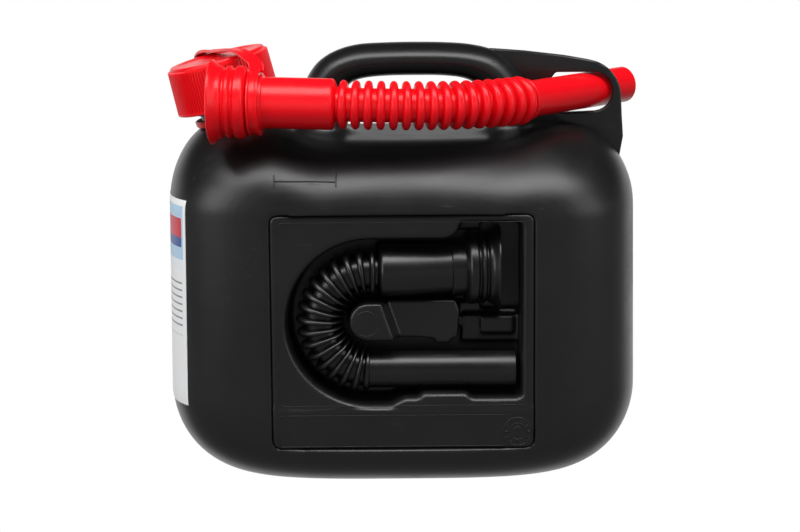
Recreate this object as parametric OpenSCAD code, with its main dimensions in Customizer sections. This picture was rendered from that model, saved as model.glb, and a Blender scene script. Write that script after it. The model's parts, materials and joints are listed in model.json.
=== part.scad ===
// Fuel canister: a blow-moulded jerry can with a handle, a side recess that stores a bent spout,
// a second spout clipped over the shoulder, and a child-resistant screw cap with a tether strap.
// Millimetres, +Z up, +X toward the tail of the clipped spout, -Y toward the recess.

/* [Body] */
// Length of the shell along X
body_length = 265; // [255:1:280]
// Depth of the shell along Y
body_depth = 147; // [143:1:156]
// Height of the shell at its right shoulder
shoulder_height = 197; // [194:0.5:200]
// Wall of the blow-moulded shell
wall = 2; // [1.6:0.1:2.6]
// How square the shell is in plan, as a superellipse power
plan_power = 3.5; // [3.2:0.1:4]
// Radius of the lower corners seen from the front
corner_radius = 50; // [44:1:56]

/* [Handle] */
// Height of the top of the handle
handle_top = 242.6; // [241:0.2:246]
// Depth of the handle along Y
handle_depth = 30; // [26:1:34]
// Thickness of the web and loop behind the handle
web_thickness = 4.8; // [4:0.2:5.2]

/* [Neck and cap] */
// Lean of the neck toward -X, in degrees
neck_lean = 14; // [12:0.5:16]
// Radius of the neck under its thread
neck_radius = 17.5; // [17:0.1:18.2]
// Radius of the bore through the neck
neck_bore = 15; // [14:0.1:15.6]
// Radius of the outer cap
cap_radius = 29.6; // [29:0.1:30]
// Height of the outer cap
cap_height = 27.6; // [26:0.1:28.4]

/* [Recess] */
// Depth of the panel under the widest part of the front
panel_depth = 3.3; // [2.9:0.1:4]
// Depth of the recess floor under the panel
recess_depth = 26.7; // [26.6:0.1:30]

/* [Spouts] */
// Radius of the spout flange
flange_radius = 23.8; // [22.5:0.1:24]
// Radius of the straight tube
tube_radius = 14.1; // [13.6:0.1:14.3]
// Radius over the bellows rings
ring_radius = 13.5; // [12.8:0.1:13.6]
// Radius of the tail tube
tail_radius = 10.2; // [9.6:0.1:10.4]
// Length of the tail tube
tail_length = 85; // [78:1:86]
// Number of bellows rings
ring_count = 16; // [12:1:16]

/* [Hidden] */
$fn = 64;

base_radius = 28;
top_radius_x = 43;
top_radius_y = 44;
plan_points = 56;
ring_points = 18;
side_draft = 1.1;
panel_y = -(body_depth / 2 - panel_depth);
back_panel_y = body_depth / 2 - 2.9;
floor_y = panel_y + recess_depth;

neck_x = -96.2;
neck_z = 201.5;
// Heights along the neck, from the point where its axis meets the shoulder
seat_s = -2.6;
neck_top_s = 26.5;
cap_top_s = 34.7;
seat_radius = 24.5;
spout_bore = 7.9;

// small helpers

function clamp01(t) = min(1, max(0, t));
function ease(t) = let (u = clamp01(t)) u * u * (3 - 2 * u);
function unit(v) = v / norm(v);
function arc(cx, cz, r, from, to, n) = [for (i = [0 : n]) let (a = from + (to - from) * i / n)
    [cx + r * cos(a), cz + r * sin(a)]];

// Triangles from ring i to ring j, for rings of n points. Rings turn by the right hand about the way they run.
function band(i, j, n) = [for (k = [0 : n - 1]) let (m = (k + 1) % n)
    each [[i * n + k, j * n + m, i * n + m], [i * n + k, j * n + k, j * n + m]]];

// shell of the canister

function half_length(z, t) =
    let (zt = shoulder_height - top_radius_x, a = body_length / 2 - side_draft * clamp01((z - 45) / 110))
    (z < corner_radius ? a - corner_radius + sqrt(max(0, pow(corner_radius, 2) - pow(corner_radius - z, 2)))
        : z > zt ? a - top_radius_x + sqrt(max(0, pow(top_radius_x, 2) - pow(z - zt, 2)))
        : a) - t;
function half_depth(z, t) =
    let (zt = shoulder_height - top_radius_y, b = body_depth / 2)
    (z < base_radius ? b - base_radius + sqrt(max(0, pow(base_radius, 2) - pow(base_radius - z, 2)))
        : z > zt ? b - top_radius_y + sqrt(max(0, pow(top_radius_y, 2) - pow(z - zt, 2)))
        : b) - t;
function power_at(z) = plan_power - (plan_power - 2.3) * ease((z - 150) / 45);

// The top rises to the neck, dips under the handle and levels off at the right.
function top_rise(x) = x < -40 ? -5.5 + 11.5 * ease((-x - 40) / 44) : -5.5 + 5.5 * ease((x - 52) / 40);
function warp(x, z) = z + top_rise(x) * ease((z - 105) / 90);

function plan_point(a, b, p, ang) =
    [a * sign(cos(ang)) * pow(abs(cos(ang)), 2 / p), b * sign(sin(ang)) * pow(abs(sin(ang)), 2 / p)];

// Heights of the rings of the skin, close together where it curves
outer_levels = [0, 1.2, 4.5, 9.5, 16, 24, 33, 42, 52, 80, 108, 130, 150, 160, 168, 175, 181, 186.5, 191,
    194.5, 196.5, 197];
inner_levels = [0, 2.5, 8, 16, 26, 38, 52, 95, 135, 155, 166, 175, 183, 189.5, 194, 196.4, 197];

// Skin of the shell, set inward by t.
module shell_solid(levels, t) {
    n = plan_points;
    k = len(levels);
    span = (shoulder_height - 2 * t) / 197;
    pts = [for (l = levels) let (z = t + l * span, zo = l * shoulder_height / 197)
        for (i = [0 : n - 1])
            let (p = plan_point(half_length(zo, t), half_depth(zo, t), power_at(zo), (i + 0.5) * 360 / n))
            [p[0], p[1], warp(p[0], z)]];
    // Both ends are strips along Y between mirrored points, so the top can follow its rise.
    end_strip = [for (i = [0 : n / 2 - 2]) each [[i, n - 1 - i, n - 2 - i], [i, n - 2 - i, i + 1]]];
    polyhedron(points = pts, faces = concat(
        [for (l = [0 : k - 2]) each band(l, l + 1, n)],
        [for (f = end_strip) [f[2], f[1], f[0]]],
        [for (f = end_strip) f + [1, 1, 1] * (k - 1) * n]), convexity = 6);
}

// swept tubes

// Ring of n points around c, square to the direction d, with half sizes r1 along ref and r2 across it.
function ring_at(c, d, ref, r1, r2, n) =
    let (e2 = unit(cross(d, ref)), e1 = cross(e2, d))
    [for (k = [0 : n - 1]) c + e1 * r1 * cos(360 * k / n) + e2 * r2 * sin(360 * k / n)];

// Solid through a list of rings, closed by flat ends.
module skin(rings) {
    n = len(rings[0]);
    k = len(rings);
    polyhedron(points = [for (r = rings) each r], faces = concat(
        [for (i = [0 : k - 2]) each band(i, i + 1, n)],
        [[for (i = [0 : n - 1]) i]],
        [[for (i = [n - 1 : -1 : 0]) (k - 1) * n + i]]), convexity = 8);
}

// Hollow tube: the list of rings runs out along the outside and back along the inside.
module hollow_skin(rings) {
    n = len(rings[0]);
    k = len(rings);
    polyhedron(points = [for (r = rings) each r],
        faces = [for (i = [0 : k - 1]) each band(i, (i + 1) % k, n)], convexity = 10);
}

// handle

leg_half = 13;
bar_half = 9.4;
bar_z = handle_top - bar_half;
// Middle line of the handle in X and Z, with its half thickness in that plane.
handle_line = [[-44, 184, leg_half], [-44.5, 198, leg_half], [-44.5, 208, 12.5], [-43, 216.5, 12],
    [-39, 224, 11], [-32, bar_z - 4, 10], [-22, bar_z - 1.2, 9.7], [-8, bar_z - 0.2, bar_half],
    [8, bar_z, bar_half], [24, bar_z - 0.3, bar_half], [38, bar_z - 1.8, 9.8], [49, bar_z - 5.8, 11],
    [56.5, 220, 12.3], [60.5, 211, leg_half], [62.5, 200, leg_half], [63, 184, leg_half]];

module handle_solid(t) {
    k = len(handle_line);
    skin([for (i = [0 : k - 1])
        let (p = handle_line[i], a = handle_line[max(0, i - 1)], b = handle_line[min(k - 1, i + 1)],
            d = unit([b[0] - a[0], 0, b[1] - a[1]]), drop = i == 0 || i == k - 1 ? t : 0)
        ring_at([p[0], 0, p[1] - drop], d, [0, 1, 0], handle_depth / 2 - t, p[2] - t, 20)]);
}

// web and loop behind the handle

web_outline = concat([[40, 238.5], [52, 238.6], [70, 237.2], [92.8, 234.4], [106, 232]],
    arc(104, 210.5, 21.4, 72, 8, 8),
    [[126.3, 200], [128, 186], [129.2, 172.7], [122, 172], [104, 190], [60, 190], [52, 224]]);
loop_outline = concat([[88, 224.8], [110, 224.8]], arc(109.2, 213.6, 11.2, 78, -82, 10),
    [[92, 201.9], [85, 204], [81.6, 209], [81.6, 216]]);

module upright(y0, y1) {
    translate([0, y1, 0]) rotate([90, 0, 0]) linear_extrude(height = y1 - y0) children();
}

// neck, drawn along its own axis from the point on the shoulder

module at_neck() {
    translate([neck_x, 0, neck_z]) rotate([0, -neck_lean, 0]) children();
}

module neck_piece(s0, s1, r) {
    at_neck() translate([0, 0, s0]) cylinder(h = s1 - s0, r = r);
}

// recess that stores the second spout

recess_outline = concat(
    [[-17.5, 45.9], [-6.5, 45.9], [-2, 48.4], [1.5, 50], [9, 50], [12, 52.7], [34.2, 52.7], [37.6, 49.8]],
    arc(63.6, 54, 4.2, -90, 0, 3), arc(63.4, 148.5, 4.5, 0, 90, 4), arc(33.5, 148.9, 4.1, 90, 155, 3),
    arc(22.4, 151.7, 8, -25, -90, 4), arc(-17.5, 94.8, 48.9, 90, 262, 22));

// Outline moved inward by d, each corner along its own mitre.
function inset(pts, d) = let (n = len(pts)) [for (i = [0 : n - 1])
    let (p = pts[i], e1 = unit(p - pts[(i + n - 1) % n]), e2 = unit(pts[(i + 1) % n] - p),
        n1 = [-e1[1], e1[0]], n2 = [-e2[1], e2[0]])
    p + d * (n1 + n2) / (1 + n1 * n2)];

// Point of the recess that sees its whole outline, so both ends can be fans round it.
recess_hub = [40, 100];

// Pocket through a list of [y, inset] steps, from its floor out to the front.
module recess_solid(steps) {
    n = len(recess_outline);
    k = len(steps);
    walls = [for (s = steps) each [for (p = inset(recess_outline, s[1])) [p[0], s[0], p[1]]]];
    hubs = [for (s = [steps[0], steps[k - 1]]) [recess_hub[0], s[0], recess_hub[1]]];
    polyhedron(points = concat(walls, hubs), faces = concat(
        [for (i = [0 : k - 2]) each band(i, i + 1, n)],
        [for (i = [0 : n - 1]) [i, (i + 1) % n, n * k]],
        [for (i = [0 : n - 1]) [(k - 1) * n + (i + 1) % n, (k - 1) * n + i, n * k + 1]]), convexity = 8);
}

spout_y = -58;
spout_x = -18;
bend_z = 93.8;
bend_r = 27.8;
flange_lift = 9.5;
stored_z = bend_z + bend_r;
flange_trough = flange_radius + 1.4;
collar_trough = 21.6;
tube_trough = 16.4;

module trough(x0, x1, y, r) {
    translate([x0, y, stored_z]) rotate([0, 90, 0]) cylinder(h = x1 - x0, r = r);
}

module recess_pocket() {
    recess_solid([[floor_y, 3], [panel_y + 4, 2.4], [panel_y + 2.2, 1.9], [panel_y + 0.8, 0.9],
        [panel_y, 0], [-90, 0]]);
    trough(44, 65, spout_y + flange_lift, flange_trough);
    trough(26, 46, spout_y + 8, collar_trough);
    trough(-14, 30, spout_y + 6, tube_trough);
}

// What the pocket keeps out of the hollow of the shell.
module recess_wall() {
    recess_solid([[floor_y + wall, 1], [panel_y + 6, 0.4], [panel_y + 3, -wall], [-90, -wall]]);
    trough(44 - wall, 65 + wall, spout_y + flange_lift, flange_trough + wall);
    trough(26 - wall, 46, spout_y + 8, collar_trough + wall);
    trough(-14 - wall, 30, spout_y + 6, tube_trough + wall);
}

island_top_y = panel_y + 0.6;
island_low_y = panel_y + 10.2;

module island() {
    // round end, nearly level with the panel
    upright(island_top_y, floor_y + 0.5) polygon(concat(arc(-19.2, 95.2, 10.4, 90, 270, 16),
        [[-4.9, 84.8], [-12, 105.6]]));
    // ramp down to the low part
    skin([[[-5.5, floor_y + 0.5, 84.8], [-5.5, island_top_y, 84.8], [-4.9, island_top_y, 84.8],
            [-1.3, island_low_y, 84.8], [-1.3, floor_y + 0.5, 84.8]],
        [[-12.6, floor_y + 0.5, 105.6], [-12.6, island_top_y, 105.6], [-12, island_top_y, 105.6],
            [-8.4, island_low_y, 105.6], [-8.4, floor_y + 0.5, 105.6]]]);
    // low part with its notched end
    upright(island_low_y, floor_y + 0.5) polygon([[-13, 105.6], [29.5, 105.6], [31.8, 99.5], [30.4, 83.9],
        [27.6, 83.9], [25.8, 81], [19, 81], [17, 83.9], [-7, 84.8]]);
    // shelf with a pad, between the flange and the tail
    upright(floor_y - 5, floor_y + 0.5) polygon([[33, 79.5], [64, 79.5], [64, 94.8], [33, 94.8]]);
    upright(floor_y - 7, floor_y - 4.5) polygon([[43.5, 84.5], [62.5, 84.5], [62.5, 94], [43.5, 94]]);
}

module rounded_panel(y0, y1, x0, x1, z0, z1, r) {
    upright(y0, y1) polygon(concat(arc(x0 + r, z0 + r, r, 180, 270, 4), arc(x1 - r, z0 + r, r, 270, 360, 4),
        arc(x1 - r, z1 - r, r, 0, 90, 4), arc(x0 + r, z1 - r, r, 90, 180, 4)));
}

module canister_body() {
    color([0.07, 0.07, 0.08]) difference() {
        union() {
            difference() {
                shell_solid(outer_levels, 0);
                neck_piece(seat_s, 40, seat_radius);
            }
            handle_solid(0);
            upright(-web_thickness / 2, web_thickness / 2) polygon(web_outline);
            neck_piece(seat_s - 3, neck_top_s, neck_radius);
        }
        difference() {
            union() {
                shell_solid(inner_levels, wall);
                handle_solid(wall + 0.3);
            }
            recess_wall();
            neck_piece(seat_s - wall - 0.4, 40, seat_radius + wall);
            translate([-200, panel_y - 48, 0]) cube([400, 48 + wall, 300]);
            translate([-200, back_panel_y - wall, 0]) cube([400, 50, 300]);
        }
        difference() {
            recess_pocket();
            island();
        }
        upright(-10, 10) polygon(loop_outline);
        neck_piece(-16, 40, neck_bore);
        rounded_panel(-90, panel_y, -73, 73, 44.9, 155.6, 4.4);
        rounded_panel(-90, panel_y - 0.4, -73, 73, 23.3, 44.3, 4.4);
        rounded_panel(back_panel_y, 90, -73, 73, 23.3, 155.6, 4.4);
        // hollow under the base, round a pad at its centre
        translate([0, 0, -1]) linear_extrude(height = 1.8) difference() {
            polygon([for (i = [0 : 47]) plan_point(66, 32, 3, (i + 0.5) * 7.5)]);
            circle(r = 12);
        }
    }
}

// spouts

bellows_start = 69.5;
collar_radius = 20;
waist_radius = 15.3;

// Outside of the spout: distance along it and radius, for bellows of the given pitch.
function spout_outside(pitch) = let (e = bellows_start + ring_count * pitch, c = collar_radius) concat(
    // flange, three folds and the waist that the strap ring holds
    [[0, flange_radius], [1, flange_radius], [4, c - 1.4], [5.2, c], [6.6, c], [8.2, c - 1.6], [9.7, c],
    [11.2, c], [13, c - 1.6], [14.8, c], [17.8, c], [20, c - 1], [21.2, waist_radius], [28.4, waist_radius]],
    // straight tube, bellows and tail
    [[29.2, tube_radius], [50, tube_radius], [67.6, tube_radius]],
    [for (i = [0 : ring_count - 1]) let (c = bellows_start + (i + 0.5) * pitch)
        each [[c - pitch / 2, 9.2], [c - 0.9, ring_radius], [c + 0.9, ring_radius]]],
    [[e, 9.2], [e + 1.2, tail_radius], [e + tail_length / 2, tail_radius], [e + tail_length, tail_radius]]);

// Inside of the spout, listed back from the tail to the flange.
function spout_inside(pitch) = let (e = bellows_start + ring_count * pitch) concat(
    [for (d = [tail_length, tail_length / 2, 2]) [e + d, tail_radius - 1.2]],
    [[e, spout_bore]],
    [for (i = [1 : 9]) [e - i * (e - bellows_start) / 10, spout_bore]],
    [[bellows_start - 1, spout_bore], [67, tube_radius - 1.3], [30, tube_radius - 1.3], [20, tube_radius],
    [13, 17], [4.6, 17.2], [0.6, flange_radius - 1.6]]);

// The clipped spout runs nearly straight, then its bellows turn the tail through the loop.
red_pitch = 6.86;
red_bellows = ring_count * red_pitch;
function red_heading(s) = -5.5 + 50 * pow(clamp01((s - bellows_start) / red_bellows), 1.5);
function red_z(s) = 216.6 - 3 * ease(s / 185) + 0.008 * max(0, s - 185);
red_path = [for (i = 0, p = [-104, -54.5]; i <= 300;
    p = p + [cos(red_heading(i + 0.5)), sin(red_heading(i + 0.5))], i = i + 1) p];
function red_at(s) = let (i = floor(s), f = s - i, p = red_path[i] * (1 - f) + red_path[i + 1] * f)
    [p[0], p[1], red_z(s)];
function red_dir(s) = let (a = red_heading(s), rise = (red_z(s + 1) - red_z(max(0, s - 1))) / 2)
    unit([cos(a), sin(a), rise]);

// The stored spout turns back on itself in the recess.
black_pitch = 5.45;
black_lead = bellows_start + 3.2;
function black_at(s) = let (a = (s - black_lead) / bend_r * 180 / PI)
    s < black_lead ? [spout_x + black_lead - s, spout_y + flange_lift * (1 - ease(s / 75)), stored_z]
    : a < 180 ? [spout_x - bend_r * sin(a), spout_y, bend_z + bend_r * cos(a)]
    : [spout_x + (s - black_lead - PI * bend_r), spout_y, bend_z - bend_r];
function black_dir(s) = unit(black_at(s + 0.5) - black_at(s - 0.5));

module red_spout() {
    profile = concat(spout_outside(red_pitch), spout_inside(red_pitch));
    color([0.89, 0.03, 0.07]) hollow_skin([for (q = profile)
        ring_at(red_at(q[0]), red_dir(q[0]), [0, 0, 1], q[1], q[1], ring_points)]);
}

module black_spout() {
    profile = concat(spout_outside(black_pitch), spout_inside(black_pitch));
    color([0.05, 0.05, 0.06]) hollow_skin([for (q = profile)
        ring_at(black_at(q[0]), black_dir(q[0]), [0, 1, 0], q[1], q[1], ring_points)]);
}

// tether strap: a ring round the neck, a band over the cap and a ring round the waist of the red spout

strap_line = [[-78.9, -55.5, 233.6], [-80.2, -47.5, 238], [-85.2, -38.5, 241.8], [-91, -27, 243.9],
    [-97.5, -12, 243.2], [-105, 8, 241.6], [-111, 22.5, 239.8], [-115.2, 32.3, 236.9], [-116.6, 35.6, 231],
    [-115.8, 35.9, 222], [-113, 35.4, 212], [-110.6, 33.6, 205.6], [-107, 28.5, 202.2], [-102, 20.5, 200.6]];
strap_width = 8;
strap_foot_width = 6;
strap_half = 0.9;
strap_ring_s = 24.8;
strap_ring_height = 6.2;
// Direction across the band, over the cap and down by the neck
strap_across_top = [0.94, 0.34, 0];
strap_across_foot = [0.97, 0.2, 0.1];
function strap_across(i) = let (f = ease((i - 6) / 3)) strap_across_top * (1 - f) + strap_across_foot * f;

// Ring with a channel between two raised rims, around the Z axis.
module channel_ring(r, height) {
    rotate_extrude() polygon([[r, 0], [r + 2.6, 0], [r + 2.6, 1.2], [r + 1.8, 1.6], [r + 1.8, height - 1.6],
        [r + 2.6, height - 1.2], [r + 2.6, height], [r, height]]);
}

module tether_strap() {
    k = len(strap_line);
    color([0.89, 0.03, 0.07]) union() {
        // ring round the neck, under the cap
        at_neck() translate([0, 0, -2.1]) difference() {
            cylinder(h = 3.8, r = 21.4);
            translate([0, 0, -1]) cylinder(h = 6, r = neck_radius + 0.7);
        }
        // ring round the waist of the clipped spout
        translate(red_at(strap_ring_s)) rotate([0, 0, red_heading(strap_ring_s)]) rotate([0, 90, 0])
            translate([0, 0, -strap_ring_height / 2]) channel_ring(15.7, strap_ring_height);
        // band over the cap
        skin([for (i = [0 : k - 1])
            let (p = strap_line[i], d = unit(strap_line[min(k - 1, i + 1)] - strap_line[max(0, i - 1)]),
                lie = strap_across(i), across = unit(lie - d * (lie * d)), up = cross(across, d),
                w = (i > 10 ? strap_foot_width : strap_width) / 2)
            [p + across * w + up * strap_half, p + across * w - up * strap_half,
                p - across * w - up * strap_half, p - across * w + up * strap_half]]);
    }
}

// cap: a seal, a threaded inner cap and a loose outer cap that drives it when pushed down

seal_thickness = 1.4;
inner_top_s = neck_top_s + 0.1 + seal_thickness;
inner_plate = 1.8;
cap_wall = 1.9;
push_travel = 2;

module cap_seal() {
    color([0.92, 0.92, 0.9]) at_neck() translate([0, 0, neck_top_s + 0.1])
        cylinder(h = seal_thickness, r = 19);
}

module lugs(s0, s1, turn) {
    for (a = [0 : 60 : 300]) rotate([0, 0, a + turn]) translate([12, -1.5, s0]) cube([8, 3, s1 - s0]);
}

module inner_cap() {
    skirt_s = cap_top_s - cap_height + push_travel + 1.2;
    skirt_radius = cap_radius - cap_wall - 1.2;
    sleeve_radius = neck_radius + 2.2;
    color([0.85, 0.03, 0.06]) at_neck() union() {
        difference() {
            translate([0, 0, skirt_s]) cylinder(h = inner_top_s + inner_plate - skirt_s, r = skirt_radius);
            translate([0, 0, skirt_s - 1]) cylinder(h = inner_top_s + 0.1 - skirt_s + 1, r = sleeve_radius);
            // lightening groove between the threaded sleeve and the outer skirt
            translate([0, 0, skirt_s - 1]) difference() {
                cylinder(h = inner_top_s - skirt_s - 1, r = skirt_radius - 1.8);
                translate([0, 0, -1]) cylinder(h = 40, r = sleeve_radius + 1.8);
            }
        }
        lugs(inner_top_s + inner_plate - 0.1, inner_top_s + inner_plate + 1, 0);
    }
}

module outer_cap() {
    under_s = cap_top_s - 1.6;
    foot_s = cap_top_s - cap_height;
    inside = cap_radius - cap_wall;
    color([0.89, 0.03, 0.07]) at_neck() union() {
        // plate, skirt with its inward bead at the foot, and the step round the top
        rotate_extrude() polygon([[0, under_s], [inside, under_s], [inside, foot_s + 2.2],
            [inside - 1, foot_s + 1.4], [inside - 1, foot_s], [cap_radius, foot_s],
            [cap_radius - 0.4, cap_top_s - 2.4], [cap_radius - 1.4, cap_top_s - 2],
            [cap_radius - 1.6, cap_top_s - 0.5], [cap_radius - 2.2, cap_top_s], [0, cap_top_s]]);
        lugs(under_s - 1, under_s + 0.1, 30);
    }
}

// label on the side face, bent to the shell

label_y = 41;
label_z0 = 42;
label_z1 = 159;

function side_x(y, z) = let (zo = z - top_rise(-body_length / 2) * ease((z - 105) / 90),
        a = half_length(zo, 0), b = half_depth(zo, 0), p = power_at(zo))
    -a * pow(1 - pow(abs(y) / b, p), 1 / p);

module side_label() {
    n = 20;
    m = 10;
    grid = [for (t = [0, 0.3]) for (i = [0 : n]) for (j = [0 : m])
        let (y = -label_y + 2 * label_y * i / n, z = label_z0 + (label_z1 - label_z0) * j / m)
        [side_x(y, z) - t - 0.2, y, z]];
    w = m + 1;
    c = (n + 1) * w;
    sheet = [for (i = [0 : n - 1]) for (j = [0 : m - 1]) let (a = i * w + j, b = a + w)
        each [[a, a + 1, b + 1], [a, b + 1, b]]];
    edge = concat([for (i = [0 : n]) i * w], [for (j = [1 : m]) n * w + j],
        [for (i = [n - 1 : -1 : 0]) i * w + m], [for (j = [m - 1 : -1 : 1]) j]);
    e = len(edge);
    border = [for (i = [0 : e - 1]) let (p = edge[i], q = edge[(i + 1) % e])
        each [[p, q, q + c], [p, q + c, p + c]]];
    color([0.95, 0.95, 0.96]) polyhedron(points = grid, faces = concat(
        sheet, [for (f = sheet) [f[2], f[1], f[0]] + [c, c, c]], border));
}

canister_body();
red_spout();
black_spout();
tether_strap();
cap_seal();
inner_cap();
outer_cap();
side_label();
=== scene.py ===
import json
import math

import bmesh
import bpy
from bpy.props import FloatProperty, FloatVectorProperty, IntProperty, PointerProperty
from mathutils import Matrix, Vector

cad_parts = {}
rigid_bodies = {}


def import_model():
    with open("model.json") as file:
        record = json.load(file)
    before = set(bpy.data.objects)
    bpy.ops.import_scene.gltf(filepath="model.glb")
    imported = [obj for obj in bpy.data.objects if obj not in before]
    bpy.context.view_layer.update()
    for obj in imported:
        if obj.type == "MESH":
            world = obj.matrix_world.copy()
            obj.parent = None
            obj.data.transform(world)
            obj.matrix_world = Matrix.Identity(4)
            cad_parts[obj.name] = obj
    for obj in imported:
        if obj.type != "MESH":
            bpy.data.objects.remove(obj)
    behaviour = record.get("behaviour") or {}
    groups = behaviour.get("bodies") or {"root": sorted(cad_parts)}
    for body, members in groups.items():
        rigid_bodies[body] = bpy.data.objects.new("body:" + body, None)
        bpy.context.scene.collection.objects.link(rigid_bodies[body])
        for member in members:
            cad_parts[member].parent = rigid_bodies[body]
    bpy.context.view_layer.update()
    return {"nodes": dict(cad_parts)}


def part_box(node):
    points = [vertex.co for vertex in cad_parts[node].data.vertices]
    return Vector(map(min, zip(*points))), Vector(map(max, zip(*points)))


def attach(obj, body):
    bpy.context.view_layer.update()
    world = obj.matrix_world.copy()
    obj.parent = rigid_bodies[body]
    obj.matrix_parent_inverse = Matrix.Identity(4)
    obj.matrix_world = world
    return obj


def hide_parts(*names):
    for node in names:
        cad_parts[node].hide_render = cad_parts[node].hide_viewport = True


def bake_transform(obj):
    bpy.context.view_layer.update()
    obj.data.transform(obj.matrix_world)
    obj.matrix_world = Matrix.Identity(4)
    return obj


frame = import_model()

bl_info = {
    "name": "Fuel canister dressing",
    "version": (1, 0, 0),
    "blender": (4, 5, 0),
    "location": "3D View > Sidebar > Canister",
    "description": "Dresses the packed fuel canister: shell, recess, spouts, cap, strap, label and stage",
    "category": "Object",
}

MM = 0.001
MERGE = 1e-6  # metres

# The forms below are worked out in millimetres, as the part's source is, and scaled to metres at the end.

# Shell
HALF_LENGTH = -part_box("canister_body")[0].x / MM + 0.15
HALF_DEPTH = -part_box("canister_body")[0].y / MM + 0.05
SHOULDER = 197.0
CORNER_RADIUS = 50.0
BASE_RADIUS = 28.0
TOP_RADIUS_X = 43.0
TOP_RADIUS_Y = 44.0
PLAN_POWER = 3.5
PANEL_Y = -70.2
BACK_PANEL_Y = 70.6
PANEL_X = 73.0
PANEL_Z = (23.3, 155.6)
PANEL_CORNER = 4.4
PANEL_OPEN_Y = -41.5  # the front panel's piece ends here, inside the shell
BEYOND = 90.0  # outside the shell in Y
RECESS_LOW = (-69.5, -BEYOND, 40)
RECESS_HIGH = (69, -38, 153.4)
HANDLE_DEPTH = 30.0
HANDLE_ROOTS = (-44.5, 62.8)
HANDLE_LINE = [(-44, 184, 13), (-44.5, 198, 13), (-44.5, 208, 12.5), (-43, 216.5, 12), (-39, 224, 11),
    (-32, 229.2, 10), (-22, 232, 9.7), (-8, 233, 9.4), (8, 233.2, 9.4), (24, 232.9, 9.4), (38, 231.4, 9.8),
    (49, 227.4, 11), (56.5, 220, 12.3), (60.5, 211, 13), (62.5, 200, 13), (63, 184, 13)]

# Neck, measured along its own axis from the point where it meets the shoulder
NECK_FOOT = Vector((-96.2, 0, 201.5))
NECK_LEAN = 14.0
NECK_RADIUS = 17.5
NECK_BORE = 15.0
NECK_TOP = 26.5
SEAT = -2.6
CAP_TOP = 34.7
CAP_RADIUS = 29.6
CAP_HEIGHT = 27.6
THREAD_PITCH = 4.0

# Spouts
FLANGE_RADIUS = 23.4
COLLAR_RADIUS = 20.0
WAIST_RADIUS = 15.3
TUBE_RADIUS = 14.1
RING_RADIUS = 13.5
VALLEY_RADIUS = 9.3
TAIL_RADIUS = 10.2
TAIL_LENGTH = 85.0
BELLOWS_START = 69.5
RED_PITCH = 6.86
BLACK_PITCH = 5.45
SPOUT_BORE = 7.9
PATH_STEP = 0.5  # between two points of a middle line
RED_START = (-104.0, -54.5, 216.6)
BEND_CENTRE = (-18, -58, 93.8)
BEND_RADIUS = 27.8

# Strap
STRAP_LINE = [(-78.9, -55.5, 233.6), (-80.2, -47.5, 237.2), (-85.2, -38.5, 240.2), (-91, -27, 241.8),
    (-97.5, -12, 240.2), (-105, 8, 237.3), (-111, 22.5, 235.6), (-114.8, 32, 233), (-116.3, 35.5, 229),
    (-115.8, 35.9, 222), (-113, 35.4, 212), (-110.6, 33.6, 205.6), (-107, 28.5, 202.2), (-102, 20.5, 200.6)]
STRAP_RING_AT = 24.8

# Label
LABEL_HALF = 50.5
LABEL_SOLID_HALF = 41.0
LABEL_Z = (44.0, 161.0)
LABEL_CELLS = 60

# Raised lines, with the places of the dial and the island's ring as X and Z
MARK_Z = 174.0
STRIP_Y = PANEL_Y - 0.4
DIAL = (63.5, 32.9)
ISLAND = (-19.9, 94.4)

# Camera, as found from the photograph
CAMERA_TARGET = Vector((0, 0, 125))
CAMERA_DISTANCE = 1500.0
CAMERA_ELEVATION = 11.0
CAMERA_ROLL = 0.45
FOCAL_PIXELS = 2604.0
IMAGE_WIDTH = 800
TARGET_PIXEL_FROM_CENTRE = (2.2, 20.5)


# Settings that a user would change

class ShellSettings(bpy.types.PropertyGroup):
    voxel: FloatProperty(name="Skin voxel", description="Voxel of the shell's skin", default=1.75 * MM,
        min=1 * MM, max=4 * MM, unit="LENGTH")
    panel_voxel: FloatProperty(name="Panel voxel", description="Voxel of the recessed front panel",
        default=0.85 * MM, min=0.5 * MM, max=3 * MM, unit="LENGTH")
    soften: IntProperty(name="Soften", description="Smoothing passes over the whole skin", default=4,
        min=0, max=30)
    panel_soften: IntProperty(name="Panel soften", description="Smoothing passes over the front panel",
        default=16, min=0, max=60)
    blend: IntProperty(name="Handle blend", description="Smoothing passes where the handle meets the shell",
        default=60, min=0, max=200)


class SpoutSettings(bpy.types.PropertyGroup):
    sides: IntProperty(name="Sides", description="Sides of the turned tubes", default=48, min=16, max=96)
    rings: IntProperty(name="Bellows rings", description="Number of bellows rings", default=16, min=4, max=24)
    red_share: FloatProperty(name="Red ring width", default=0.7, min=0.4, max=0.9, subtype="FACTOR",
        description="Share of the red bellows' pitch that a ring takes")
    black_share: FloatProperty(name="Black ring width", default=0.6, min=0.4, max=0.9, subtype="FACTOR",
        description="Share of the black bellows' pitch that a ring takes")


class CapSettings(bpy.types.PropertyGroup):
    ribs: IntProperty(name="Ribs", description="Grip ribs round the outer cap", default=104, min=40, max=140)
    rib_depth: FloatProperty(name="Rib depth", description="Depth of the grip ribs", default=0.8 * MM,
        min=0.1 * MM, max=1.2 * MM, unit="LENGTH")


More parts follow.
